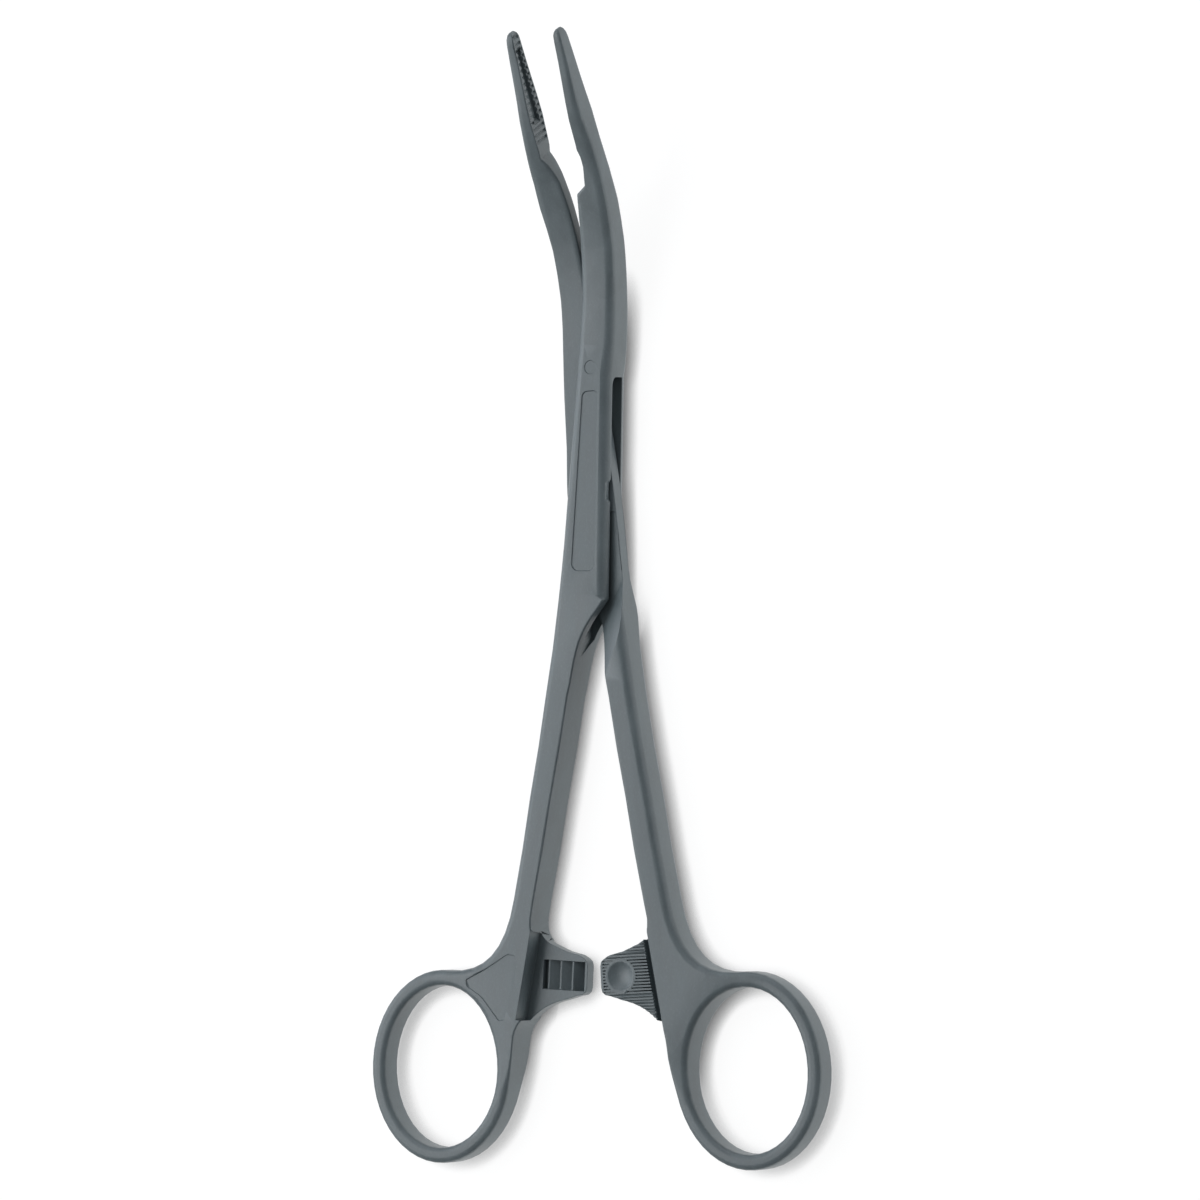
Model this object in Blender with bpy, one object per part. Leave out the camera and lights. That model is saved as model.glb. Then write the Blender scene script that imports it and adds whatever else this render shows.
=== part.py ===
# Single-use tampon forceps: two plastic mouldings that cross in a box lock.
#
# female_half carries the box, the right jaw and the left finger ring.
# male_half carries the neck that runs through the box, the left jaw and the right finger ring.
# Each half is drawn flat and closed, its jaw along +Y, then its jaw is bent towards +Z,
# and the half is turned about the pivot by half of the angle at which the forceps lie open.
# X is across the forceps, Y towards the jaws and Z through the thickness, in metres.
# The world origin is on the back face of the box, straight under the pivot.

import math

import bmesh
import bpy
from mathutils import Vector

MM = 0.001

# Thickness, through Z
BOX_THICKNESS = 9.0 * MM
BOX_WALL = 2.4 * MM
SHANK_THICKNESS = 8.5 * MM
RING_THICKNESS = 6.5 * MM
NECK_CLEARANCE = 0.35 * MM
SLOT_HEIGHT = BOX_THICKNESS - 2 * BOX_WALL
NECK_THICKNESS = SLOT_HEIGHT - 2 * NECK_CLEARANCE

# Pivot: round trunnions of the neck in blind sockets of the box walls
PIVOT_RADIUS = 2.5 * MM
PIVOT_DEPTH = 1.1 * MM
PIVOT_CLEARANCE = 0.15 * MM
REST_OPENING = math.radians(6.06)

# Jaws
JAW_LENGTH = 106.4 * MM
GRIP_START = 78.3 * MM
GRIP_X = 0.95 * MM
BEND_START = 28.0 * MM
BEND_RADIUS = 76.0 * MM
BEND_ANGLE = math.radians(27.0)
TOOTH_PITCH = 1.52 * MM
TOOTH_COUNT = 17
TOOTH_DEPTH = 0.5 * MM
TOOTH_WIDTH = 1.05 * MM
TOOTH_MARGIN = 0.5 * MM
FIRST_TOOTH = GRIP_START + 2.2 * MM
GROOVE_SHARE = 0.42
GROOVE_DEPTH = 0.95 * MM
GROOVE_START = FIRST_TOOTH + 2.6 * TOOTH_PITCH
GROOVE_END = JAW_LENGTH - 3.9 * MM

# Handles
SHANK_WIDTH = 5.9 * MM
RING_CENTRE = Vector((32.7, -133.6)) * MM
RING_HOLE_WIDTH = 30.0 * MM
RING_HOLE_LENGTH = 37.0 * MM
RING_WALL = 3.5 * MM
FEMALE_EXTRA_WIDTH = 0.5 * MM
MALE_EXTRA_WIDTH = 0.2 * MM

# Ratchet arms
ARM_Y = -111.15 * MM
ARM_TIP_X = -3.1 * MM
ARM_TIP_WIDTH = 7.4 * MM
ARM_CLEARANCE = 0.4 * MM
ARM_RECESS = 0.6 * MM
ARM_BACK = 3.05 * MM
RATCHET_TEETH = 3
RATCHET_PITCH = 3.1 * MM
RATCHET_DEPTH = 1.6 * MM
RATCHET_WIDTH = 6.6 * MM
RATCHET_FIRST_X = 7.2 * MM
RATCHET_POCKET = 1.2 * MM
RATCHET_RIM = 0.7 * MM
PAD_DROP = 0.8 * MM
PAD_GROOVE_INSET = 0.6 * MM
PAD_GROOVE_WIDTH = 1.6 * MM
PAD_GROOVE_DEPTH = 1.7 * MM
DIMPLE_DIAMETER = 6.9 * MM
DIMPLE_DEPTH = 1.0 * MM
DIMPLE_X = 2.0 * MM

# Neck and box outline
SLOT_TOP = 24.6 * MM
SLOT_CORNER = 2.2 * MM
SLOT_RUNOUT_START = -35.0 * MM
SLOT_RUNOUT_END = -39.5 * MM
NOTCH_DEPTH = 0.55 * MM
NOTCH_LENGTH = 5.4 * MM
NOTCH_Y = -1.4 * MM
RAMP_ANGLE = math.radians(30.0)
RAMP_HEADING = math.radians(-22.9)
RAMP_DISTANCE = 14.6 * MM
CHEEK_SLOPE = math.radians(9.0)

# Edge fillets
OUTER_FILLET = 2.0 * MM
RING_FILLET = 1.4 * MM
TONGUE_FILLET = 1.2 * MM
EDGE_FILLET = 0.4 * MM
FILLET_STEPS = 3

PLASTIC_COLOUR = (0.115, 0.135, 0.150, 1.0)


def point(x, y, fillet=EDGE_FILLET):
    """One outline point, given in millimetres, with the fillet of its edge."""
    return (x * MM, y * MM, fillet)


def mirrored(points):
    """The same outline on the other side of the forceps, walked the other way."""
    return [(-x, y, fillet) for x, y, fillet in reversed(points)]


def smooth(points, steps=3):
    """Points on a smooth curve through the given outline points."""
    result = []
    last = len(points) - 1
    for index in range(last):
        before = points[max(index - 1, 0)]
        start = points[index]
        end = points[index + 1]
        after = points[min(index + 2, last)]
        for step in range(steps):
            t = step / steps
            result.append(tuple(
                0.5 * (2 * b + (c - a) * t + (2 * a - 5 * b + 4 * c - d) * t ** 2
                       + (3 * b - a - 3 * c + d) * t ** 3)
                for a, b, c, d in zip(before, start, end, after)))
    result.append(points[-1])
    return result


def bezier(start, start_handle, end_handle, end, fillets, steps):
    """Points on a cubic curve, with the fillet blended from its start to its end."""
    result = []
    for step in range(steps + 1):
        t = step / steps
        weights = ((1 - t) ** 3, 3 * t * (1 - t) ** 2, 3 * t * t * (1 - t), t ** 3)
        corners = (start, start_handle, end_handle, end)
        x, y = (sum(w * c[axis] for w, c in zip(weights, corners)) for axis in (0, 1))
        result.append((x, y, fillets[0] * (1 - t) + fillets[1] * t))
    return result


def ring_points(extra, start, end, steps):
    """An arc of the finger ring, extra outside its opening."""
    result = []
    for step in range(steps + 1):
        angle = start + (end - start) * step / steps
        result.append((RING_CENTRE.x + (RING_HOLE_WIDTH / 2 + extra) * math.cos(angle),
                       RING_CENTRE.y + (RING_HOLE_LENGTH / 2 + extra) * math.sin(angle), RING_FILLET))
    return result


def shank_edges(outer_extra, inner_extra):
    """The outer edge of a shank, downwards, and its inner edge, upwards."""
    centre_line = smooth([point(5.85, -48.3), point(7.3, -60.0), point(9.0, -71.3),
                          point(10.5, -83.0), point(12.3, -94.5)], 2)
    half = SHANK_WIDTH / 2
    fade = [1.0 - index / (len(centre_line) - 1) for index in range(len(centre_line))]
    outer = [(x + half + outer_extra * share, y, OUTER_FILLET) for (x, y, _), share in zip(centre_line, fade)]
    inner = [(x - half - inner_extra, y, EDGE_FILLET) for x, y, _ in reversed(centre_line)]
    return outer, inner


def arm_root_x(y):
    """The inner edge of the shank, carried on past the root of the ratchet arm."""
    return 12.3 * MM - SHANK_WIDTH / 2 + 0.139 * (-94.5 * MM - y)


def arm_outline():
    """The ratchet arm, from its lower root to its upper root, pointing to -X."""
    half = ARM_TIP_WIDTH / 2
    low = smooth([point(13.95, -134.4, 0.9 * MM), point(13.4, -130.2), point(13.05, -125.6), point(11.9, -122.7),
                  point(9.7, -120.3), point(7.2, -118.5), point(4.6, -117.3), point(2.0, -116.5),
                  point(-0.6, -115.6)], 2)
    top = smooth([point(-0.6, -106.3), point(2.6, -105.7), point(5.4, -104.7), point(7.6, -103.8),
                  point(9.1, -102.4), point(9.75, -100.6), point(9.85, -98.6)], 2)
    tip_low = [(ARM_TIP_X + 1.0 * MM, ARM_Y - half - 0.4 * MM, EDGE_FILLET),
               (ARM_TIP_X + 0.25 * MM, ARM_Y - half + 0.25 * MM, EDGE_FILLET),
               (ARM_TIP_X, ARM_Y - half + 1.2 * MM, EDGE_FILLET)]
    tip_top = [(x, 2 * ARM_Y - y, fillet) for x, y, fillet in reversed(tip_low)]
    return low + tip_low + tip_top + top


def handle_outline(outer_extra, inner_extra):
    """Shank, shoulder, ring and arm on the +X side, from the outer edge round to the inner edge."""
    outer, inner = shank_edges(outer_extra, inner_extra)
    shoulder_angle = math.radians(94)
    web_angle = math.radians(-168)
    ring = ring_points(RING_WALL, shoulder_angle, web_angle, 36)
    end = outer[-1]
    shoulder = bezier(end, (end[0] + 1.6 * MM, end[1] - 12.0 * MM),
                      (ring[0][0] - 9.5 * MM, ring[0][1] + 0.1 * MM), ring[0],
                      (OUTER_FILLET, RING_FILLET), 8)
    return outer + shoulder[1:-1] + ring + arm_outline() + inner


def jaw_outline():
    """Jaw on the +X side beyond the lock, from its outer edge round the tip to its gripping face."""
    outer = smooth([point(5.95, 64.6, OUTER_FILLET), point(5.6, 72.3, OUTER_FILLET),
                    point(4.65, GRIP_START / MM + 2.5, OUTER_FILLET), point(3.35, 89.7, 1.5 * MM),
                    point(2.45, JAW_LENGTH / MM - 7.0, 1.0 * MM)], 2)
    tip = [(1.95 * MM, JAW_LENGTH - 2.6 * MM, 0.8 * MM), (1.75 * MM, JAW_LENGTH - 1.4 * MM, 0.7 * MM),
           (1.4 * MM, JAW_LENGTH - 0.5 * MM, 0.6 * MM), (0.95 * MM, JAW_LENGTH - 0.1 * MM, 0.5 * MM),
           (0.5 * MM, JAW_LENGTH - 0.2 * MM, 0.45 * MM), (0.15 * MM, JAW_LENGTH - 0.7 * MM, 0.4 * MM),
           (0.03 * MM, JAW_LENGTH - 1.4 * MM, 0.3 * MM)]
    return outer + tip + [(GRIP_X, GRIP_START, 0.3 * MM)]


def female_outline():
    """Outline of the female half: box, right jaw and left handle."""
    left_edge = smooth([point(-1.6, 65.6, 1.4 * MM), point(-2.7, 54.6, 1.7 * MM), point(-3.45, 42.5, 1.9 * MM),
                        point(-4.3, 31.4, OUTER_FILLET), point(-5.55, 0.0, OUTER_FILLET),
                        point(-6.1, -13.5, OUTER_FILLET), point(-6.9, -26.0, OUTER_FILLET),
                        point(-7.95, -37.5, OUTER_FILLET)], 2)
    handle = [(-x, y, fillet) for x, y, fillet in handle_outline(FEMALE_EXTRA_WIDTH, 0.0)]
    box_end = smooth([point(-2.3, -45.3), point(-1.5, -40.3), point(-0.45, -36.0), point(0.85, -33.0),
                      point(2.4, -30.4), point(4.2, -28.0), point(5.45, -26.2)], 2)
    right_edge = [point(5.68, -25.7, OUTER_FILLET), point(5.55, -21.5, OUTER_FILLET),
                  point(4.85, 0.0, OUTER_FILLET), point(4.1, 24.9, OUTER_FILLET), point(4.6, 31.4, OUTER_FILLET),
                  point(5.0, 42.5, OUTER_FILLET), point(5.7, 54.6, OUTER_FILLET)]
    jaw_root = smooth([point(1.45, 76.7), point(1.7, 74.3), point(1.45, 71.6), point(1.3, 69.8)], 2)
    flange_top = [point(0.2, 68.9, 0.6 * MM), point(-1.15, 67.8, 0.8 * MM)]
    return left_edge + handle + box_end + right_edge + jaw_outline() + jaw_root + flange_top


def male_outline():
    """Outline of the male half: neck, left jaw and right handle."""
    tongue = smooth([point(-1.2, 76.7), point(-0.1, 75.0, TONGUE_FILLET), point(0.95, 71.7, TONGUE_FILLET),
                     point(1.33, 68.7, TONGUE_FILLET), point(1.6, 63.5, TONGUE_FILLET),
                     point(1.5, 50.0, TONGUE_FILLET), point(1.4, 38.0), point(2.0, 26.0), point(3.6, 14.0),
                     point(5.1, 0.3), point(5.95, -11.4), point(6.4, -19.4, 0.6 * MM),
                     point(6.8, -25.4, 1.0 * MM), point(7.65, -37.0, OUTER_FILLET)], 2)
    inner = smooth([point(2.2, -45.0), point(1.45, -38.5), point(0.75, -34.5), point(-0.3, -31.0),
                    point(-1.3, -27.0), point(-2.3, -20.0), point(-3.3, -11.0), point(-4.6, -6.0),
                    point(-6.3, -4.0)], 2)
    neck = smooth([point(-6.85, -2.6), point(-6.85, 1.0), point(-6.5, 9.0), point(-6.5, 20.0), point(-6.2, 31.5),
                   point(-5.4, 42.5), point(-5.1, 54.6)], 2)
    jaw = [(-x, y, fillet) for x, y, fillet in jaw_outline()]
    return tongue + handle_outline(0.0, MALE_EXTRA_WIDTH) + inner + neck + jaw


def signed_area(points):
    area = 0.0
    for index, (x, y, _) in enumerate(points):
        next_x, next_y, _ = points[(index + 1) % len(points)]
        area += x * next_y - next_x * y
    return area / 2


def without_doubles(points):
    """The outline without points that lie almost on the one before."""
    kept = []
    for candidate in points:
        if not kept or math.dist(candidate[:2], kept[-1][:2]) > 0.15 * MM:
            kept.append(candidate)
    if math.dist(kept[0][:2], kept[-1][:2]) <= 0.15 * MM:
        kept.pop()
    return kept


def inward(points, index):
    """Direction from an outline point into the solid, long enough to keep the fillet's width."""
    before = Vector(points[index - 1][:2])
    here = Vector(points[index][:2])
    after = Vector(points[(index + 1) % len(points)][:2])
    first = (here - before).normalized()
    second = (after - here).normalized()
    normal = Vector((-first.y - second.y, first.x + second.x)).normalized()
    width = max(normal.dot(Vector((-first.y, first.x))), 0.6)
    return normal / width


def rounded_slab(outline, hole):
    """A slab of the box's thickness, whose two rims have a fillet that changes along the outline."""
    mesh = bmesh.new()
    rims = []
    for loop, turn in ((outline, 1), (hole, -1)):
        points = without_doubles(loop)
        if signed_area(points) * turn < 0:
            points.reverse()
        inwards = [inward(points, index) for index in range(len(points))]
        angles = [math.pi / 2 * step / FILLET_STEPS for step in range(FILLET_STEPS + 1)]
        rows = [(-1, angle) for angle in reversed(angles)] + [(1, angle) for angle in angles]
        edges = None
        for side, angle in rows:
            if edges is None:
                verts = [mesh.verts.new((0, 0, 0)) for _ in points]
                edges = [mesh.edges.new((verts[i], verts[(i + 1) % len(verts)])) for i in range(len(verts))]
                rims += edges
            else:
                made = bmesh.ops.extrude_edge_only(mesh, edges=edges)["geom"]
                verts = next_row(verts, made)
                edges = [mesh.edges.get((verts[i], verts[(i + 1) % len(verts)])) for i in range(len(verts))]
            for vert, (x, y, fillet), direction in zip(verts, points, inwards):
                shift = direction * fillet * (1 - math.cos(angle))
                height = BOX_THICKNESS / 2 - fillet * (1 - math.sin(angle))
                vert.co = (x + shift.x, y + shift.y, side * height)
        rims += edges
    for side in (-1, 1):
        rim = [edge for edge in rims if edge.verts[0].co.z * side > 0]
        bmesh.ops.triangle_fill(mesh, use_beauty=True, edges=rim)
    bmesh.ops.recalc_face_normals(mesh, faces=mesh.faces)
    return mesh


def next_row(verts, made):
    """The new vertices of an extruded row, in the order of the row that they came from."""
    fresh = {item for item in made if isinstance(item, bmesh.types.BMVert)}
    return [next(edge.other_vert(vert) for edge in vert.link_edges if edge.other_vert(vert) in fresh)
            for vert in verts]


HANDLE_DIRECTION = Vector((0.8, -0.6))
HANDLE_TAPER = ((84.0 * MM, SHANK_THICKNESS), (100.0 * MM, RING_THICKNESS))
HANDLE_TAPER_STEPS = 6
JAW_THICKNESS = ((GRIP_START + 1.3 * MM, 5.9 * MM), (GRIP_START + 7.2 * MM, 6.7 * MM),
                 (GRIP_START + 11.4 * MM, 6.2 * MM), (GRIP_START + 16.1 * MM, 5.2 * MM),
                 (GRIP_START + 20.7 * MM, 4.3 * MM), (JAW_LENGTH - 2.9 * MM, 3.7 * MM),
                 (JAW_LENGTH - 1.6 * MM, 3.3 * MM), (JAW_LENGTH - 0.7 * MM, 2.6 * MM), (JAW_LENGTH, 1.5 * MM))
FEMALE_THICKNESS = ((-45.0 * MM, SHANK_THICKNESS), (-25.0 * MM, BOX_THICKNESS), (BEND_START, BOX_THICKNESS),
                    (42.5 * MM, 8.4 * MM), (54.6 * MM, 7.7 * MM), (64.6 * MM, 7.2 * MM),
                    (69.7 * MM, 6.5 * MM), (74.8 * MM, 6.0 * MM)) + JAW_THICKNESS
MALE_THICKNESS = ((-45.0 * MM, SHANK_THICKNESS), (-26.5 * MM, BOX_THICKNESS), (-20.0 * MM, NECK_THICKNESS),
                  (70.5 * MM, NECK_THICKNESS), (75.0 * MM, 4.9 * MM)) + JAW_THICKNESS


def between(stations, place):
    """The value at a place along a list of (place, value) stations."""
    if place <= stations[0][0]:
        return stations[0][1]
    for (start, low), (end, high) in zip(stations, stations[1:]):
        if place <= end:
            return low + (high - low) * (place - start) / (end - start)
    return stations[-1][1]


def cut_at(mesh, place, normal):
    """Splits the faces of a mesh along a plane."""
    geometry = mesh.verts[:] + mesh.edges[:] + mesh.faces[:]
    bmesh.ops.bisect_plane(mesh, geom=geometry, dist=1e-6, plane_co=place, plane_no=normal)


def shape_thickness(mesh, thickness):
    """Thins the flat half towards its jaw and its ring."""
    for place, _ in thickness:
        cut_at(mesh, (0, place, 0), (0, 1, 0))
    taper_start, taper_end = HANDLE_TAPER[0][0], HANDLE_TAPER[1][0]
    for side in (-1, 1):
        direction = Vector((HANDLE_DIRECTION.x * side, HANDLE_DIRECTION.y, 0))
        for step in range(HANDLE_TAPER_STEPS + 1):
            distance = taper_start + (taper_end - taper_start) * step / HANDLE_TAPER_STEPS
            cut_at(mesh, direction * distance, direction)
    for vert in mesh.verts:
        if vert.co.y < -60.0 * MM:
            along = abs(vert.co.x) * HANDLE_DIRECTION.x + vert.co.y * HANDLE_DIRECTION.y
            share = min(max((along - taper_start) / (taper_end - taper_start), 0.0), 1.0)
            share = share * share * (3 - 2 * share)
            target = SHANK_THICKNESS + (RING_THICKNESS - SHANK_THICKNESS) * share
        else:
            target = between(thickness, vert.co.y)
        vert.co.z *= target / BOX_THICKNESS


def bend_jaw(mesh):
    """Bends everything beyond the lock towards +Z, on an arc and then straight."""
    arc_length = BEND_RADIUS * BEND_ANGLE
    bend_steps = 9
    for step in range(bend_steps + 1):
        cut_at(mesh, (0, BEND_START + arc_length * step / bend_steps, 0), (0, 1, 0))
    bmesh.ops.triangulate(mesh, faces=mesh.faces)
    for vert in mesh.verts:
        beyond = vert.co.y - BEND_START
        if beyond <= 0:
            continue
        angle = min(beyond, arc_length) / BEND_RADIUS
        straight = max(beyond - arc_length, 0)
        height = vert.co.z
        vert.co.y = (BEND_START + BEND_RADIUS * math.sin(angle) + straight * math.cos(angle)
                     - height * math.sin(angle))
        vert.co.z = (BEND_RADIUS * (1 - math.cos(angle)) + straight * math.sin(angle)
                     + height * math.cos(angle))


def new_collection(name):
    collection = bpy.data.collections.new(name)
    bpy.context.scene.collection.children.link(collection)
    return collection


def add_object(name, mesh, collection):
    """An object made of a bmesh, which is used up."""
    data = bpy.data.meshes.new(name)
    mesh.to_mesh(data)
    mesh.free()
    item = bpy.data.objects.new(name, data)
    collection.objects.link(item)
    return item


def add_cutter(name, mesh, cutters):
    item = add_object(name, mesh, cutters)
    item.hide_render = True
    item.display_type = "WIRE"
    return item


def prism(points, low, high, axis="Z"):
    """An outline of (a, b) points made solid between two heights, along Z or along Y."""
    mesh = bmesh.new()
    if axis == "Z":
        verts = [mesh.verts.new((a, b, low)) for a, b in points]
        step = Vector((0, 0, high - low))
    else:
        verts = [mesh.verts.new((a, low, b)) for a, b in points]
        step = Vector((0, high - low, 0))
    face = mesh.faces.new(verts)
    made = bmesh.ops.extrude_face_region(mesh, geom=[face])["geom"]
    bmesh.ops.translate(mesh, vec=step, verts=[item for item in made if isinstance(item, bmesh.types.BMVert)])
    bmesh.ops.recalc_face_normals(mesh, faces=mesh.faces)
    return mesh


def cylinder(radius, height):
    mesh = bmesh.new()
    bmesh.ops.create_cone(mesh, cap_ends=True, segments=32, radius1=radius, radius2=radius, depth=height)
    return mesh


def combine(item, other, operation):
    """Joins another solid to this one or cuts it away, and keeps the result as the mesh."""
    modifier = item.modifiers.new(operation.lower(), "BOOLEAN")
    modifier.operation = operation
    modifier.object = other
    graph = bpy.context.evaluated_depsgraph_get()
    result = bpy.data.meshes.new_from_object(item.evaluated_get(graph))
    item.modifiers.clear()
    item.data = result


def slot_cutter():
    """The slot of the box: open to both sides, closed by a web beyond the lock and one behind it."""
    right = 12.0 * MM
    web_ahead = [(right, SLOT_TOP), (4.0 * MM, SLOT_TOP), (3.2 * MM, SLOT_TOP + 0.8 * MM),
                 (2.5 * MM, 28.0 * MM), (2.15 * MM, 38.0 * MM), (2.2 * MM, 50.0 * MM),
                 (2.35 * MM, 63.5 * MM), (2.1 * MM, 70.5 * MM), (-right, 70.5 * MM)]
    web_behind = [(-right, -5.4 * MM), (-6.0 * MM, -5.4 * MM), (-4.6 * MM, -7.4 * MM), (-3.85 * MM, -11.4 * MM),
                  (-2.9 * MM, -20.0 * MM), (-1.9 * MM, -27.0 * MM), (-1.0 * MM, -31.0 * MM),
                  (-0.9 * MM, SLOT_RUNOUT_START), (-1.3 * MM, SLOT_RUNOUT_END), (right, SLOT_RUNOUT_END)]
    mesh = prism(web_ahead + web_behind, -SLOT_HEIGHT / 2, SLOT_HEIGHT / 2)
    for share in (0.4, 0.7, 0.9):
        cut_at(mesh, (0, 0, share * SLOT_HEIGHT / 2), (0, 0, 1))
    cut_at(mesh, (0, SLOT_RUNOUT_START, 0), (0, 1, 0))
    for vert in mesh.verts:
        if abs(vert.co.y - SLOT_TOP) < 1e-6 and vert.co.z > 0:
            share = min(vert.co.z / (SLOT_HEIGHT / 2), 1.0)
            vert.co.y -= SLOT_CORNER * (1 - math.sqrt(1 - share * share))
        if vert.co.y < SLOT_RUNOUT_START - 1e-6:
            vert.co.z = (2.1 + 0.15 * vert.co.z / (SLOT_HEIGHT / 2)) * MM
    bmesh.ops.triangulate(mesh, faces=mesh.faces)
    return mesh


def notch_cutter():
    """The shallow notch in the right edge of the box's front wall, above the slot."""
    edge = 4.9 * MM
    top = NOTCH_Y + NOTCH_LENGTH / 2
    low = NOTCH_Y - NOTCH_LENGTH / 2
    points = [(edge + 2.0 * MM, top), (edge, top), (edge - NOTCH_DEPTH, top - 0.9 * MM),
              (edge - NOTCH_DEPTH + 0.1 * MM, low + 0.9 * MM), (edge + 0.2 * MM, low), (edge + 2.0 * MM, low)]
    return prism(points, 0.0, BOX_THICKNESS)


def ramp_plane(side):
    """A point and the downward normal of the ramp from the neck up to the shank."""
    heading = Vector((math.cos(RAMP_HEADING), math.sin(RAMP_HEADING), 0))
    normal = heading * math.sin(RAMP_ANGLE) + Vector((0, 0, -math.cos(RAMP_ANGLE)))
    place = heading * RAMP_DISTANCE + Vector((0, 0, NECK_THICKNESS / 2))
    return place, normal


def clip(mesh, place, normal):
    """Takes off what lies beyond a plane and closes the cut."""
    made = bmesh.ops.bisect_plane(mesh, geom=mesh.verts[:] + mesh.edges[:] + mesh.faces[:], dist=1e-7,
                                  plane_co=place, plane_no=normal, clear_outer=True)
    rim = [item for item in made["geom_cut"] if isinstance(item, bmesh.types.BMEdge)]
    bmesh.ops.contextual_create(mesh, geom=rim)


def block(low, high):
    """A box between two corners."""
    mesh = bmesh.new()
    bmesh.ops.create_cube(mesh, size=1)
    size = Vector(high) - Vector(low)
    bmesh.ops.scale(mesh, vec=size, verts=mesh.verts)
    bmesh.ops.translate(mesh, vec=(Vector(high) + Vector(low)) / 2, verts=mesh.verts)
    return mesh


def recess_cutter(side):
    """What is taken off one face of the male half to leave its neck, with a ramp down from the shank."""
    floor = NECK_THICKNESS / 2
    mesh = block((-12.0 * MM, -60.0 * MM, floor), (12.0 * MM, -17.0 * MM, floor + 10.0 * MM))
    clip(mesh, *ramp_plane(side))
    bmesh.ops.scale(mesh, vec=(1, 1, side), verts=mesh.verts)
    bmesh.ops.recalc_face_normals(mesh, faces=mesh.faces)
    return mesh


def cheek_cutter():
    """Tilts the front of the neck beside the box, so that it falls away from its outer edge."""
    ridge_top = Vector((5.35, -6.0, 0)) * MM
    ridge_low = Vector((6.75, -25.4, 0)) * MM
    along = (ridge_low - ridge_top).normalized()
    leftwards = Vector((along.y, -along.x, 0))
    normal = Vector((0, 0, -math.cos(CHEEK_SLOPE))) - leftwards * math.sin(CHEEK_SLOPE)
    place = ridge_top + Vector((0, 0, NECK_THICKNESS / 2 - 0.05 * MM))
    mesh = block((-1.0 * MM, -50.0 * MM, -2.0 * MM), (9.5 * MM, -6.5 * MM, 10.0 * MM))
    clip(mesh, place, normal)
    clip(mesh, *ramp_plane(1))
    bmesh.ops.recalc_face_normals(mesh, faces=mesh.faces)
    return mesh


def jaw_teeth_cutter():
    """V grooves across the gripping face of the +X jaw, short of its two filleted edges."""
    face_start = Vector((GRIP_X, GRIP_START))
    face_end = Vector((0.03 * MM, JAW_LENGTH - 1.4 * MM))
    along = (face_end - face_start).normalized()
    across = Vector((along.y, -along.x))
    mesh = bmesh.new()
    for number in range(TOOTH_COUNT):
        distance = FIRST_TOOTH - face_start.y + number * TOOTH_PITCH
        root = face_start + along * distance
        half = between(JAW_THICKNESS, root.y) / 2 - TOOTH_MARGIN
        wide = TOOTH_WIDTH / 2
        outside = 0.2 * MM
        corners = (root + along * wide * (1 + outside / TOOTH_DEPTH) - across * outside,
                   root - along * wide * (1 + outside / TOOTH_DEPTH) - across * outside,
                   root + across * TOOTH_DEPTH)
        groove = prism([tuple(corner) for corner in corners], -half, half)
        append(mesh, groove)
    return mesh


def append(mesh, other):
    """Moves the geometry of one bmesh into another."""
    data = bpy.data.meshes.new("temporary")
    other.to_mesh(data)
    other.free()
    mesh.from_mesh(data)
    bpy.data.meshes.remove(data)


def jaw_groove_cutter():
    """The long groove down the middle of the gripping face of the +X jaw, narrowing to the tip."""
    outside = 1.0 * MM
    points = [(-outside, GROOVE_START), (0.95 * MM, GROOVE_START), (0.75 * MM + GROOVE_DEPTH, GROOVE_START + 1.0 * MM),
              (0.2 * MM + GROOVE_DEPTH, GROOVE_END - 1.0 * MM), (0.2 * MM, GROOVE_END), (-outside, GROOVE_END)]
    mesh = prism(points, -1.0, 1.0)
    for vert in mesh.verts:
        vert.co.z *= GROOVE_SHARE * between(JAW_THICKNESS, vert.co.y) / 2
    return mesh


def arm_cutter(side):
    """The half of the thickness that a ratchet arm leaves free for the other arm."""
    top_y = -101.6 * MM
    low_y = -121.8 * MM
    points = [(arm_root_x(top_y) - ARM_RECESS, top_y), (-8.0 * MM, top_y),
              (-8.0 * MM, low_y), (arm_root_x(low_y) - ARM_RECESS, low_y)]
    ends = sorted((side * ARM_CLEARANCE / -2, side * BOX_THICKNESS))
    return prism(points, ends[0], ends[1])


def arm_back_cutter():
    """Thins the back of the arm whose front carries the teeth."""
    top_y = -101.1 * MM
    low_y = -122.6 * MM
    start = 2.2 * MM
    points = [(arm_root_x(top_y) - start, top_y), (-8.0 * MM, top_y),
              (-8.0 * MM, low_y), (arm_root_x(low_y) - start, low_y)]
    return prism(points, -BOX_THICKNESS, -ARM_BACK)


def ratchet_cutter(side):
    """Pockets between the saw teeth of a ratchet arm, cut into its free face."""
    top = 1.0 * MM
    surface = -ARM_CLEARANCE / 2
    crest = surface - 0.1 * MM
    root = crest - RATCHET_DEPTH
    first = RATCHET_FIRST_X
    last = first - (RATCHET_TEETH - 1) * RATCHET_PITCH
    end = ARM_TIP_X + RATCHET_RIM
    profile = [(first + RATCHET_POCKET, top), (end, top), (end, root - 0.4 * MM), (end + 1.2 * MM, root - 0.4 * MM)]
    for number in range(RATCHET_TEETH):
        edge = last + number * RATCHET_PITCH
        profile += [(edge - RATCHET_PITCH * 0.15, crest), (edge, crest), (edge + 0.15 * MM, root)]
    profile += [(first + RATCHET_POCKET, root)]
    profile = [(x, z * side) for x, z in profile]
    return prism(profile, ARM_Y - RATCHET_WIDTH / 2, ARM_Y + RATCHET_WIDTH / 2, axis="Y")


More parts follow.
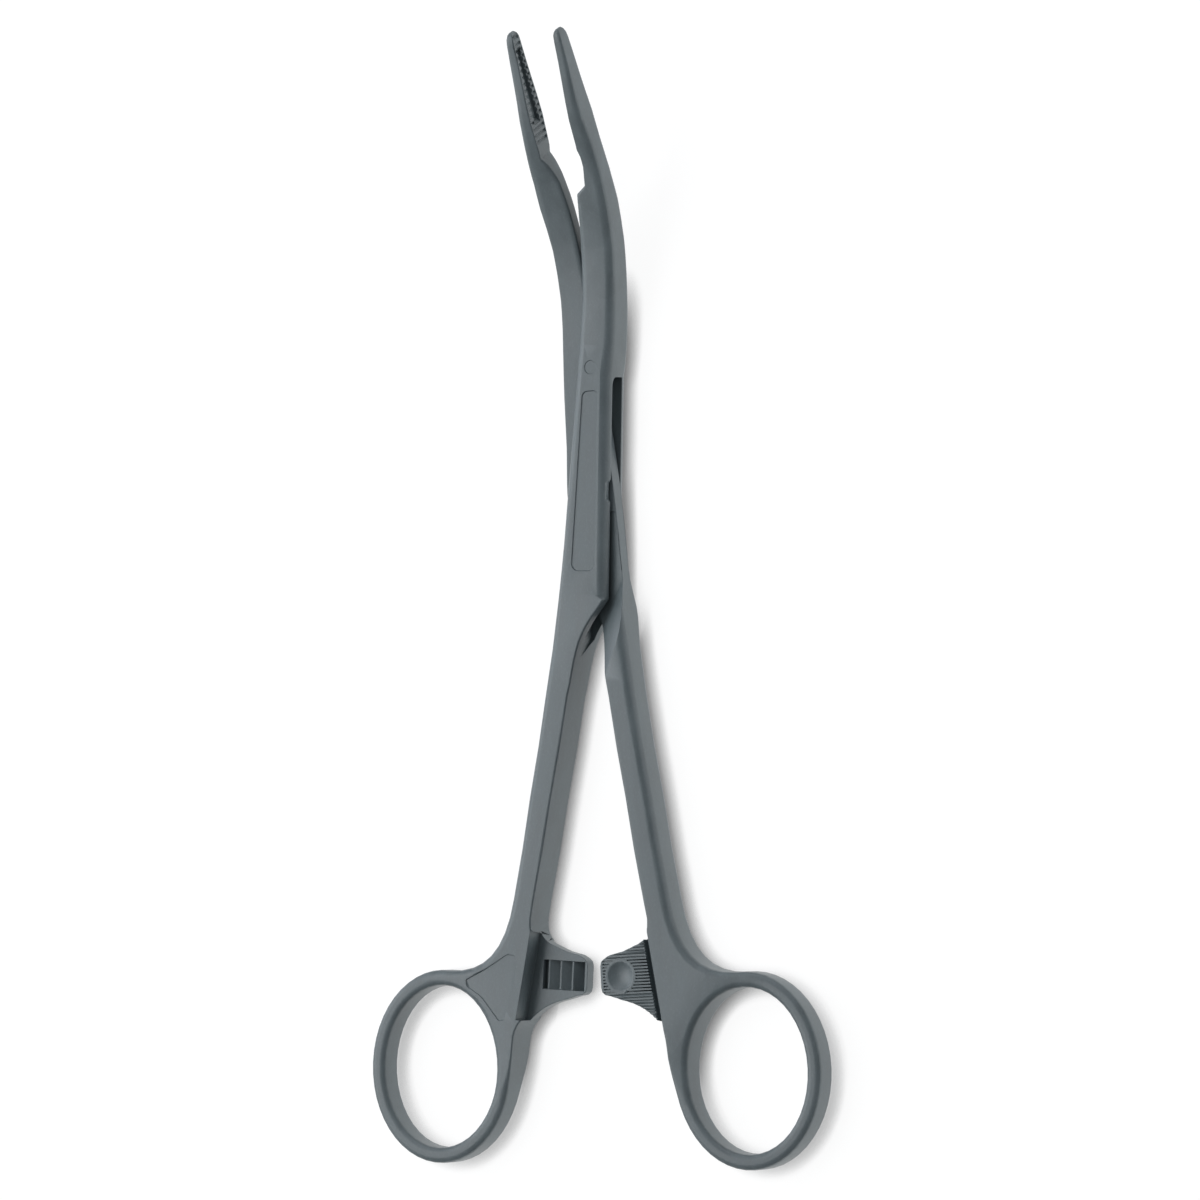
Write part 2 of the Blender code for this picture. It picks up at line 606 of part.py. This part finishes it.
def pad_cutter():
    """Lowers the front of the male arm."""
    surface = SHANK_THICKNESS / 2 - PAD_DROP
    start = PAD_GROOVE_INSET + PAD_GROOVE_WIDTH / 2
    top_y = -101.0 * MM
    low_y = -124.0 * MM
    points = [(arm_root_x(top_y) - start, top_y), (-8.0 * MM, top_y),
              (-8.0 * MM, low_y), (arm_root_x(low_y) - start, low_y)]
    return prism(points, surface, BOX_THICKNESS)


def pad_groove_cutter():
    """The groove that parts the pad of the male arm from the shank."""
    top_y = -100.0 * MM
    low_y = -125.0 * MM
    floor = SHANK_THICKNESS / 2 - PAD_DROP - PAD_GROOVE_DEPTH
    far = PAD_GROOVE_INSET + PAD_GROOVE_WIDTH
    points = [(arm_root_x(top_y) - PAD_GROOVE_INSET, top_y), (arm_root_x(top_y) - far, top_y),
              (arm_root_x(low_y) - far, low_y), (arm_root_x(low_y) - PAD_GROOVE_INSET, low_y)]
    return prism(points, floor, BOX_THICKNESS)


def dimple_cutter():
    """A ball that leaves the round thumb dimple in the pad."""
    radius = (DIMPLE_DIAMETER ** 2 / 4 + DIMPLE_DEPTH ** 2) / (2 * DIMPLE_DEPTH)
    mesh = bmesh.new()
    bmesh.ops.create_uvsphere(mesh, u_segments=48, v_segments=32, radius=radius)
    height = SHANK_THICKNESS / 2 - PAD_DROP - DIMPLE_DEPTH + radius
    bmesh.ops.translate(mesh, vec=(DIMPLE_X, ARM_Y, height), verts=mesh.verts)
    return mesh


def flipped(mesh):
    """The same solid on the other side of the forceps."""
    bmesh.ops.scale(mesh, vec=(-1, 1, 1), verts=mesh.verts)
    bmesh.ops.reverse_faces(mesh, faces=mesh.faces)
    return mesh


def plastic(name):
    material = bpy.data.materials.new(name)
    material.use_nodes = True
    shader = material.node_tree.nodes["Principled BSDF"]
    shader.inputs["Base Color"].default_value = PLASTIC_COLOUR
    shader.inputs["Roughness"].default_value = 0.42
    shader.inputs["Metallic"].default_value = 0.0
    return material


def make_half(name, outline, thickness, steps, parts, cutters, turn):
    """A half: the rounded slab, its thickness, its cuts and joins, its bent jaw and its place."""
    side = 1 if name == "male_half" else -1
    hole = [(side * x, y, fillet) for x, y, fillet in ring_points(0, 0, 2 * math.pi, 44)]
    mesh = rounded_slab(outline, hole)
    shape_thickness(mesh, thickness)
    item = add_object(name, mesh, parts)
    for label, operation, solid in steps:
        other = add_cutter(name + "_" + label, solid, cutters)
        combine(item, other, operation)
    mesh = bmesh.new()
    mesh.from_mesh(item.data)
    bmesh.ops.remove_doubles(mesh, verts=mesh.verts, dist=2e-6)
    bend_jaw(mesh)
    mesh.to_mesh(item.data)
    mesh.free()
    item.data.shade_smooth()
    item.data.set_sharp_from_angle(angle=math.radians(35))
    item.data.materials.clear()
    item.data.materials.append(plastic(name + "_plastic"))
    item.location = (0, 0, BOX_THICKNESS / 2)
    item.rotation_euler = (0, 0, turn)
    return item


def main():
    for item in list(bpy.data.objects):
        bpy.data.objects.remove(item, do_unlink=True)
    parts = new_collection("tampon_forceps")
    cutters = new_collection("cutters")

    socket_height = SLOT_HEIGHT + 2 * (PIVOT_DEPTH + PIVOT_CLEARANCE)
    female_steps = [
        ("slot", "DIFFERENCE", slot_cutter()),
        ("notch", "DIFFERENCE", notch_cutter()),
        ("sockets", "DIFFERENCE", cylinder(PIVOT_RADIUS + PIVOT_CLEARANCE, socket_height)),
        ("jaw_teeth", "DIFFERENCE", jaw_teeth_cutter()),
        ("jaw_groove", "DIFFERENCE", jaw_groove_cutter()),
        ("arm_face", "DIFFERENCE", flipped(arm_cutter(1))),
        ("arm_back", "DIFFERENCE", flipped(arm_back_cutter())),
        ("ratchet", "DIFFERENCE", flipped(ratchet_cutter(1))),
    ]
    male_steps = [
        ("front_recess", "DIFFERENCE", recess_cutter(1)),
        ("back_recess", "DIFFERENCE", recess_cutter(-1)),
        ("cheek", "DIFFERENCE", cheek_cutter()),
        ("trunnions", "UNION", cylinder(PIVOT_RADIUS, SLOT_HEIGHT + 2 * PIVOT_DEPTH)),
        ("jaw_groove", "DIFFERENCE", flipped(jaw_groove_cutter())),
        ("jaw_teeth", "DIFFERENCE", flipped(jaw_teeth_cutter())),
        ("arm_face", "DIFFERENCE", arm_cutter(-1)),
        ("ratchet", "DIFFERENCE", ratchet_cutter(-1)),
        ("pad", "DIFFERENCE", pad_cutter()),
        ("pad_groove", "DIFFERENCE", pad_groove_cutter()),
        ("dimple", "DIFFERENCE", dimple_cutter()),
    ]
    make_half("female_half", female_outline(), FEMALE_THICKNESS, female_steps, parts, cutters, -REST_OPENING / 2)
    make_half("male_half", male_outline(), MALE_THICKNESS, male_steps, parts, cutters, REST_OPENING / 2)


main()
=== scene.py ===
"""Tampon forceps of dark blue-grey moulded plastic, lying slightly open on a white table."""

import math

import bmesh
import bpy
from mathutils import Matrix, Vector

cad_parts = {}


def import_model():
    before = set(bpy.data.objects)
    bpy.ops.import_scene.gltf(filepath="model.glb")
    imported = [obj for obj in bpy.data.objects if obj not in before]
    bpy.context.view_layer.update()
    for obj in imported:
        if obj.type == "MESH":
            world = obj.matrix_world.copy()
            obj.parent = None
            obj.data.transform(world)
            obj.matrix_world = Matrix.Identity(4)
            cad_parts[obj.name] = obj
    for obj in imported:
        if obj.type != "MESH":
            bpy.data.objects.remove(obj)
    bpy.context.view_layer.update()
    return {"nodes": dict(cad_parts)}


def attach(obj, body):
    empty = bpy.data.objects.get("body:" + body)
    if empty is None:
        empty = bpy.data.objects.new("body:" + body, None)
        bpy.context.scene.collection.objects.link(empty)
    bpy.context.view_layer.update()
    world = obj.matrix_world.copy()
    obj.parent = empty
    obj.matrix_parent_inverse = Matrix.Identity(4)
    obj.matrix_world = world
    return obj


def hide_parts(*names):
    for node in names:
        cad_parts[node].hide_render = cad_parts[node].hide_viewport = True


MM = 0.001

# The photograph's view: from the right of the pivot axis and a little towards the rings
VIEW_RIGHT = math.radians(29.9)
VIEW_UP = math.radians(-3.0)
VIEW_ROLL = math.radians(-0.08)
VIEW_DISTANCE = 1.314
VIEW_TARGET = Vector((0.0, -25.0, 4.5)) * MM
VIEW_OFFSET = (0.68 * MM, -1.06 * MM)
PIXELS_PER_MM = 4.421
PHOTO_WIDTH = 1200
SENSOR_WIDTH = 36.0
NEAREST_SEEN = 0.05
FARTHEST_SEEN = 20

# The lamps look at a point between the shanks near the lock, all from the same distance
LAMP_TARGET = Vector((0, -0.02, 0))
LAMP_DISTANCE = 1.1

# The room round the table, as the plastic sees it
AIR_STRENGTH = 0.19

# The table is square and lies just under the lowest point of the forceps
TABLE_HALF_WIDTH = 1.6
TABLE_DROP = 0.15 * MM
LIT_FROM_BELOW = 0.9
MIRRORED_TABLE = 0.95

# The contact shadow: how far it reaches, and how the open share of the sky turns into glow
SHADOW_REACH = 4.0 * MM
SHADOW_SAMPLES = 8
CLOSED_SKY = 0.25
OPEN_SKY = 0.88
SHADED_GLOW = 0.12
FULL_GLOW = 0.92

# Each half is drawn closed and lies turned about the pivot by this much, one way or the other
HALF_OPENING = math.radians(3.03)

# Heights above the table between which the sunk details of the front lie
DETAIL_LOW = 5.0 * MM
DETAIL_HIGH = 12.0 * MM

# The flat panels, as outlines in millimetres with the radius of each corner
PANEL_DEPTH = 0.22 * MM
LOCK_PANEL = [(-1.30, 21.0), (2.85, 21.2), (1.95, -19.8), (-4.30, -19.6)]
LOCK_PANEL_RADII = (1.9, 1.9, 2.6, 2.6)
SHOULDER_PANEL = [(-32.4, -111.9), (-27.0, -109.4), (-21.2, -106.0), (-18.9, -106.4), (-18.6, -108.8),
                  (-22.0, -121.0), (-23.6, -121.2), (-28.4, -115.6), (-32.2, -113.4)]
SHOULDER_PANEL_RADII = (0.5, 2.0, 1.0, 1.0, 1.5, 0.5, 0.5, 2.0, 0.5)
PANEL_CORNER_STEPS = 6

# The corner between the wall and the floor of a sunk place is cut off by a share of its depth.
# A face counts as wall or as floor by how far its normal points up, seen from the chip cut out
CORNER_SHARE = 0.75
WALL_NORMAL = 0.1
FLOOR_NORMAL = -0.3

# The round ejector mark beyond the lock's panel
MARK_CENTRE = (0.9 * MM, 26.4 * MM)
MARK_RADIUS = 1.6 * MM
MARK_DEPTH = 0.14 * MM
MARK_STEPS = 48

# The thumb pad of the right arm, in the closed frame
PAD_FRONT = 7.95 * MM
DIMPLE_CENTRE = Vector((2.0, -111.15)) * MM
DIMPLE_MARGIN = 3.9 * MM

# The gaps between the pad's ribs run from near its tip to the groove, which leans with the shank
RIB_COUNT = 33
RIB_FIRST_Y = -101.4 * MM
RIB_PITCH = 0.70 * MM
RIB_GAP = 0.32 * MM
RIB_DEPTH = 0.34 * MM
RIB_END = -2.5 * MM
RIB_SHORTEST = 0.3 * MM
GROOVE_X = 7.85 * MM
GROOVE_Y = -94.5 * MM
GROOVE_LEAN = 0.139

# Edges that turn more than the first angle are rounded by this radius, and what still turns more
# than the second is shaded as an edge
EDGE_BREAK = 0.12 * MM
EDGE_STEPS = 2
BROKEN_ANGLE = math.radians(32)
CREASE_ANGLE = math.radians(40)

# Points nearer than this are one, and faces that lie this flat to each other are joined
SAME_POINT = 0.004 * MM
SAME_PLANE = math.radians(0.5)

# Flow of the melt leaves clouds 4 mm wide and about 12 mm long, along the shanks
CLOUDS_PER_METRE = (250.0, 85.0, 250.0)
CLOUD_DARK = "#5b6467"
CLOUD_PALE = "#667073"
CLOUD_RELIEF = 0.12 * MM

# Glass fibre under the skin shows as flecks 0.4 mm wide and 0.7 mm long, drawn coarser than real
FLECKS_PER_METRE = (2600.0, 1400.0, 2600.0)
FLECK_COLOUR = "#7e888b"
FLECK_SHARE = 0.22
FLECK_RELIEF = 0.03 * MM

# Satin, smoother and rougher cloud by cloud, and the IOR of polyamide
SMOOTHEST = 0.36
ROUGHEST = 0.46
POLYAMIDE_IOR = 1.53


def rgb(hex_colour):
    """An sRGB hex colour as a linear colour."""
    channels = [int(hex_colour[i:i + 2], 16) / 255 for i in (1, 3, 5)]
    return [c / 12.92 if c <= 0.04045 else ((c + 0.055) / 1.055) ** 2.4 for c in channels] + [1.0]


def add(tree, kind, links=None, **settings):
    """Adds a node, sets its properties and inputs, and links its inputs."""
    node = tree.nodes.new(kind)
    for name, value in settings.items():
        if hasattr(node, name):
            setattr(node, name, value)
        else:
            node.inputs[name.replace("_", " ")].default_value = value
    for name, socket in (links or {}).items():
        tree.links.new(socket, node.inputs[name])
    return node


def view_axes():
    """The picture's right, its up, and the direction from the object to the camera."""
    back = Vector((math.sin(VIEW_RIGHT) * math.cos(VIEW_UP), math.sin(VIEW_UP),
                   math.cos(VIEW_RIGHT) * math.cos(VIEW_UP)))
    right = Vector((0, 1, 0)).cross(back).normalized()
    up = back.cross(right)
    rolled_right = right * math.cos(VIEW_ROLL) + up * math.sin(VIEW_ROLL)
    rolled_up = up * math.cos(VIEW_ROLL) - right * math.sin(VIEW_ROLL)
    return rolled_right, rolled_up, back


def add_camera():
    """A long lens in the photograph's place."""
    right, up, back = view_axes()
    data = bpy.data.cameras.new("camera")
    data.sensor_width = SENSOR_WIDTH
    data.lens = PIXELS_PER_MM * VIEW_DISTANCE / MM / PHOTO_WIDTH * SENSOR_WIDTH
    data.clip_start = NEAREST_SEEN
    data.clip_end = FARTHEST_SEEN
    camera = bpy.data.objects.new("camera", data)
    rotation = Matrix((right, up, back)).transposed().to_4x4()
    place = VIEW_TARGET + right * VIEW_OFFSET[0] + up * VIEW_OFFSET[1] + back * VIEW_DISTANCE
    camera.matrix_world = Matrix.Translation(place) @ rotation
    bpy.context.scene.collection.objects.link(camera)
    bpy.context.scene.camera = camera


def add_softbox(name, direction, size, power, colour):
    """A large area lamp that looks at the forceps from a direction."""
    data = bpy.data.lights.new(name, "AREA")
    data.shape = "RECTANGLE"
    data.size, data.size_y = size
    data.energy = power
    data.color = rgb(colour)[:3]
    lamp = bpy.data.objects.new(name, data)
    outwards = Vector(direction).normalized()
    lamp.matrix_world = (Matrix.Translation(LAMP_TARGET + outwards * LAMP_DISTANCE)
                         @ outwards.to_track_quat("Z", "Y").to_matrix().to_4x4())
    bpy.context.scene.collection.objects.link(lamp)


def light_the_studio():
    """Soft light from the upper left and from beyond the jaws, and low fills on both sides."""
    add_softbox("window_left", (-0.70, -0.06, 0.70), size=(0.8, 1.0), power=7.3, colour="#fbfdff")
    add_softbox("sky_beyond", (-0.20, 0.70, 0.70), size=(0.9, 0.7), power=3.2, colour="#f6faff")
    add_softbox("wall_left", (-1.0, 0.24, 0.10), size=(0.45, 1.1), power=3.0, colour="#eef4ff")
    add_softbox("fill_right", (1.0, 0.32, 0.03), size=(0.25, 1.0), power=2.2, colour="#f6f9ff")
    world = bpy.data.worlds.new("studio_air")
    bpy.context.scene.world = world
    world.use_nodes = True
    tree = world.node_tree
    tree.nodes.clear()
    air = add(tree, "ShaderNodeBackground", Color=rgb("#f4f7fb"), Strength=AIR_STRENGTH)
    white = add(tree, "ShaderNodeBackground", Color=rgb("#ffffff"), Strength=1.0)
    path = add(tree, "ShaderNodeLightPath")
    mix = add(tree, "ShaderNodeMixShader",
              {0: path.outputs["Is Camera Ray"], 1: air.outputs[0], 2: white.outputs[0]})
    add(tree, "ShaderNodeOutputWorld", {"Surface": mix.outputs[0]})


def lit_acrylic():
    """White acrylic of a light table: pure white to the camera, with a soft contact shadow."""
    material = bpy.data.materials.new("lit_white_acrylic")
    material.use_nodes = True
    tree = material.node_tree
    tree.nodes.clear()

    # To the plastic it is a white card lit from below, which brightens upright walls
    acrylic = add(tree, "ShaderNodeBsdfDiffuse", Color=rgb("#f1f1f1"))
    lit_below = add(tree, "ShaderNodeEmission", Color=rgb("#ffffff"), Strength=LIT_FROM_BELOW)
    card = add(tree, "ShaderNodeAddShader", {0: acrylic.outputs[0], 1: lit_below.outputs[0]})

    # To the camera it glows, and less so where the forceps hide the sky towards the window
    faint = add(tree, "ShaderNodeBsdfDiffuse", Color=rgb("#6e6e6e"))
    towards_window = add(tree, "ShaderNodeCombineXYZ", X=-0.62, Y=0.45, Z=0.65)
    open_sky = add(tree, "ShaderNodeAmbientOcclusion", {"Normal": towards_window.outputs[0]},
                   samples=SHADOW_SAMPLES, Distance=SHADOW_REACH)
    contact = add(tree, "ShaderNodeMapRange", {"Value": open_sky.outputs["AO"]},
                  From_Min=CLOSED_SKY, From_Max=OPEN_SKY, To_Min=SHADED_GLOW, To_Max=FULL_GLOW)
    glow = add(tree, "ShaderNodeEmission", {"Strength": contact.outputs[0]}, Color=rgb("#ffffff"))
    seen = add(tree, "ShaderNodeAddShader", {0: faint.outputs[0], 1: glow.outputs[0]})

    # In the satin of the plastic it is mirrored white
    mirrored = add(tree, "ShaderNodeEmission", Color=rgb("#ffffff"), Strength=MIRRORED_TABLE)
    path = add(tree, "ShaderNodeLightPath")
    unseen = add(tree, "ShaderNodeMixShader",
                 {0: path.outputs["Is Glossy Ray"], 1: card.outputs[0], 2: mirrored.outputs[0]})
    mix = add(tree, "ShaderNodeMixShader",
              {0: path.outputs["Is Camera Ray"], 1: unseen.outputs[0], 2: seen.outputs[0]})
    add(tree, "ShaderNodeOutputMaterial", {"Surface": mix.outputs[0]})
    return material


def lay_table():
    """A white table that reads as pure white and keeps the soft shadow of the forceps."""
    mesh = bmesh.new()
    bmesh.ops.create_grid(mesh, x_segments=2, y_segments=2, size=TABLE_HALF_WIDTH)
    bmesh.ops.translate(mesh, verts=mesh.verts, vec=(0, 0, -TABLE_DROP))
    table = make_object("table", mesh)
    table.data.materials.append(lit_acrylic())


def make_object(name, mesh):
    """An object made of a bmesh, which is used up."""
    data = bpy.data.meshes.new(name)
    mesh.to_mesh(data)
    mesh.free()
    item = bpy.data.objects.new(name, data)
    bpy.context.scene.collection.objects.link(item)
    return item


def glass_filled_polyamide():
    """Injection-moulded polyamide with glass fibre: satin, dark blue grey, faintly clouded."""
    material = bpy.data.materials.new("glass_filled_polyamide")
    material.use_nodes = True
    tree = material.node_tree
    tree.nodes.clear()
    place = add(tree, "ShaderNodeTexCoord").outputs["Object"]
    flow = add(tree, "ShaderNodeMapping", {"Vector": place}, Scale=CLOUDS_PER_METRE)
    clouds = add(tree, "ShaderNodeTexNoise", {"Vector": flow.outputs[0]},
                 Scale=1.0, Detail=3.0, Roughness=0.55)
    grain = add(tree, "ShaderNodeMapping", {"Vector": place}, Scale=FLECKS_PER_METRE)
    flecks = add(tree, "ShaderNodeTexNoise", {"Vector": grain.outputs[0]},
                 Scale=1.0, Detail=2.0, Roughness=0.6)

    cloud_colour = add(tree, "ShaderNodeValToRGB", {"Fac": clouds.outputs["Fac"]})
    dark, pale = cloud_colour.color_ramp.elements
    dark.position = 0.3
    dark.color = rgb(CLOUD_DARK)
    pale.position = 0.72
    pale.color = rgb(CLOUD_PALE)
    fleck_amount = add(tree, "ShaderNodeMapRange", {"Value": flecks.outputs["Fac"]},
                       From_Min=0.52, From_Max=0.78, To_Min=0.0, To_Max=FLECK_SHARE)
    colour = add(tree, "ShaderNodeMix", {"Factor": fleck_amount.outputs[0]}, data_type="RGBA")
    tree.links.new(cloud_colour.outputs[0], colour.inputs[6])
    colour.inputs[7].default_value = rgb(FLECK_COLOUR)

    roughness = add(tree, "ShaderNodeMapRange", {"Value": clouds.outputs["Fac"]},
                    From_Min=0.3, From_Max=0.7, To_Min=SMOOTHEST, To_Max=ROUGHEST)
    skin = add(tree, "ShaderNodeBump", {"Height": flecks.outputs["Fac"]},
               Strength=0.22, Distance=FLECK_RELIEF)
    cloud_bump = add(tree, "ShaderNodeBump",
                     {"Height": clouds.outputs["Fac"], "Normal": skin.outputs[0]},
                     Strength=0.25, Distance=CLOUD_RELIEF)
    shader = add(tree, "ShaderNodeBsdfPrincipled",
                 {"Base Color": colour.outputs[2], "Roughness": roughness.outputs[0],
                  "Normal": cloud_bump.outputs[0]}, IOR=POLYAMIDE_IOR)
    add(tree, "ShaderNodeOutputMaterial", {"Surface": shader.outputs[0]})
    return material


def prism(corners, low, high):
    """A solid with upright walls over an outline of (x, y) corners."""
    mesh = bmesh.new()
    face = mesh.faces.new([mesh.verts.new((x, y, low)) for x, y in corners])
    made = bmesh.ops.extrude_face_region(mesh, geom=[face])["geom"]
    bmesh.ops.translate(mesh, vec=(0, 0, high - low),
                        verts=[item for item in made if isinstance(item, bmesh.types.BMVert)])
    bmesh.ops.recalc_face_normals(mesh, faces=mesh.faces)
    return mesh


def rounded_plate(corners, radii, low, high):
    """A plate over corners given in millimetres, whose corners are rounded by the given radii."""
    mesh = prism([(x * MM, y * MM) for x, y in corners], low, high)
    for (x, y), radius in zip(corners, radii):
        corner = Vector((x, y)) * MM
        upright = [edge for edge in mesh.edges
                   if all((vert.co.xy - corner).length < SAME_POINT for vert in edge.verts)]
        bmesh.ops.bevel(mesh, geom=upright, offset=radius * MM, offset_type="WIDTH",
                        segments=PANEL_CORNER_STEPS, profile=0.5, affect="EDGES", material=-1)
    return mesh


def keep(item):
    """Makes what the modifiers do to a piece its own mesh."""
    evaluated = item.evaluated_get(bpy.context.evaluated_depsgraph_get())
    result = bpy.data.meshes.new_from_object(evaluated)
    item.modifiers.clear()
    item.data = result


def cut(item, solid, name):
    """Cuts a solid out of a piece."""
    cutter = make_object(name, solid)
    modifier = item.modifiers.new(name, "BOOLEAN")
    modifier.operation = "DIFFERENCE"
    modifier.object = cutter
    keep(item)
    bpy.data.objects.remove(cutter, do_unlink=True)


def moulding(frame, node, name):
    """A copy of a half's solid with its triangles joined, ready for its fine detail."""
    mesh = bmesh.new()
    mesh.from_mesh(frame["nodes"][node].data)
    bmesh.ops.remove_doubles(mesh, verts=mesh.verts, dist=SAME_POINT)
    bmesh.ops.dissolve_limit(mesh, angle_limit=SAME_PLANE, verts=mesh.verts, edges=mesh.edges)
    return make_object(name, mesh)


def sink(item, plain, outline, depth, name):
    """Sinks a piece's front inside an upright outline; the floor follows the plain half's surface."""
    lowered = bmesh.new()
    lowered.from_mesh(plain)
    bmesh.ops.translate(lowered, verts=lowered.verts, vec=(0, 0, -depth))
    block = make_object(name + "_block", outline)
    cut(block, lowered, name + "_floor")
    chip = bmesh.new()
    chip.from_mesh(block.data)
    bpy.data.objects.remove(block, do_unlink=True)
    corner = [edge for edge in chip.edges if len(edge.link_faces) == 2
              and min(abs(face.normal.z) for face in edge.link_faces) < WALL_NORMAL
              and min(face.normal.z for face in edge.link_faces) < FLOOR_NORMAL]
    bmesh.ops.bevel(chip, geom=corner, offset=CORNER_SHARE * depth, offset_type="OFFSET",
                    segments=1, profile=0.5, affect="EDGES", material=-1)
    cut(item, chip, name)


def sink_lock_panel(item, plain):
    """The flat panel sunk in the front of the lock, and the round ejector mark beyond it."""
    outline = rounded_plate(LOCK_PANEL, LOCK_PANEL_RADII, DETAIL_LOW, DETAIL_HIGH)
    sink(item, plain, outline, PANEL_DEPTH, "lock_panel")
    mark = bmesh.new()
    bmesh.ops.create_cone(mark, cap_ends=True, segments=MARK_STEPS, radius1=MARK_RADIUS,
                          radius2=MARK_RADIUS, depth=DETAIL_HIGH - DETAIL_LOW)
    bmesh.ops.translate(mark, verts=mark.verts, vec=(*MARK_CENTRE, (DETAIL_LOW + DETAIL_HIGH) / 2))
    sink(item, plain, mark, MARK_DEPTH, "ejector_mark")


def sink_shoulder_panel(item, plain):
    """The flat panel sunk in the left shoulder."""
    outline = rounded_plate(SHOULDER_PANEL, SHOULDER_PANEL_RADII, DETAIL_LOW, DETAIL_HIGH)
    sink(item, plain, outline, PANEL_DEPTH, "shoulder_panel")


def cut_thumb_ribs(item):
    """Fine ribs across the thumb pad, which stop short of the dimple."""
    comb = bmesh.new()
    for number in range(RIB_COUNT):
        y = RIB_FIRST_Y - number * RIB_PITCH
        groove = GROOVE_X + GROOVE_LEAN * (GROOVE_Y - y)
        offset = abs(y - DIMPLE_CENTRE.y)
        spans = [(RIB_END, groove)]
        if offset < DIMPLE_MARGIN:
            half_chord = math.sqrt(DIMPLE_MARGIN ** 2 - offset ** 2)
            spans = [(RIB_END, DIMPLE_CENTRE.x - half_chord), (DIMPLE_CENTRE.x + half_chord, groove)]
        for start, end in spans:
            if end - start < RIB_SHORTEST:
                continue
            made = bmesh.ops.create_cube(comb, size=1.0)["verts"]
            bmesh.ops.scale(comb, vec=(end - start, RIB_GAP, 2 * RIB_DEPTH), verts=made)
            bmesh.ops.translate(comb, vec=((start + end) / 2, y, PAD_FRONT), verts=made)
    bmesh.ops.transform(comb, matrix=Matrix.Rotation(HALF_OPENING, 4, "Z"), verts=comb.verts)
    cut(item, comb, "thumb_ribs")


def break_edges(item):
    """Rounds the edges of a half a little, as every moulded edge is."""
    broken = item.modifiers.new("broken_edges", "BEVEL")
    broken.limit_method = "ANGLE"
    broken.angle_limit = BROKEN_ANGLE
    broken.width = EDGE_BREAK
    broken.segments = EDGE_STEPS
    broken.use_clamp_overlap = False
    keep(item)


def finish_moulding(item, node, body, material):
    """Shades a half smooth and gives it its plastic and its body."""
    item.data.shade_smooth()
    item.data.set_sharp_from_angle(angle=CREASE_ANGLE)
    weighted = item.modifiers.new("flat_faces_lead", "WEIGHTED_NORMAL")
    weighted.keep_sharp = True
    keep(item)
    item.data.materials.clear()
    item.data.materials.append(material)
    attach(item, body)
    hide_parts(node)


def main():
    """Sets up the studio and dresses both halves."""
    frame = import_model()
    bpy.context.scene.view_settings.view_transform = "Standard"
    add_camera()
    light_the_studio()
    lay_table()

    plastic = glass_filled_polyamide()
    box_half = moulding(frame, "female_half", "box_half")
    plain_box_half = box_half.data
    break_edges(box_half)
    sink_lock_panel(box_half, plain_box_half)
    sink_shoulder_panel(box_half, plain_box_half)
    neck_half = moulding(frame, "male_half", "neck_half")
    break_edges(neck_half)
    cut_thumb_ribs(neck_half)
    finish_moulding(box_half, "female_half", "female", plastic)
    finish_moulding(neck_half, "male_half", "male", plastic)


main()
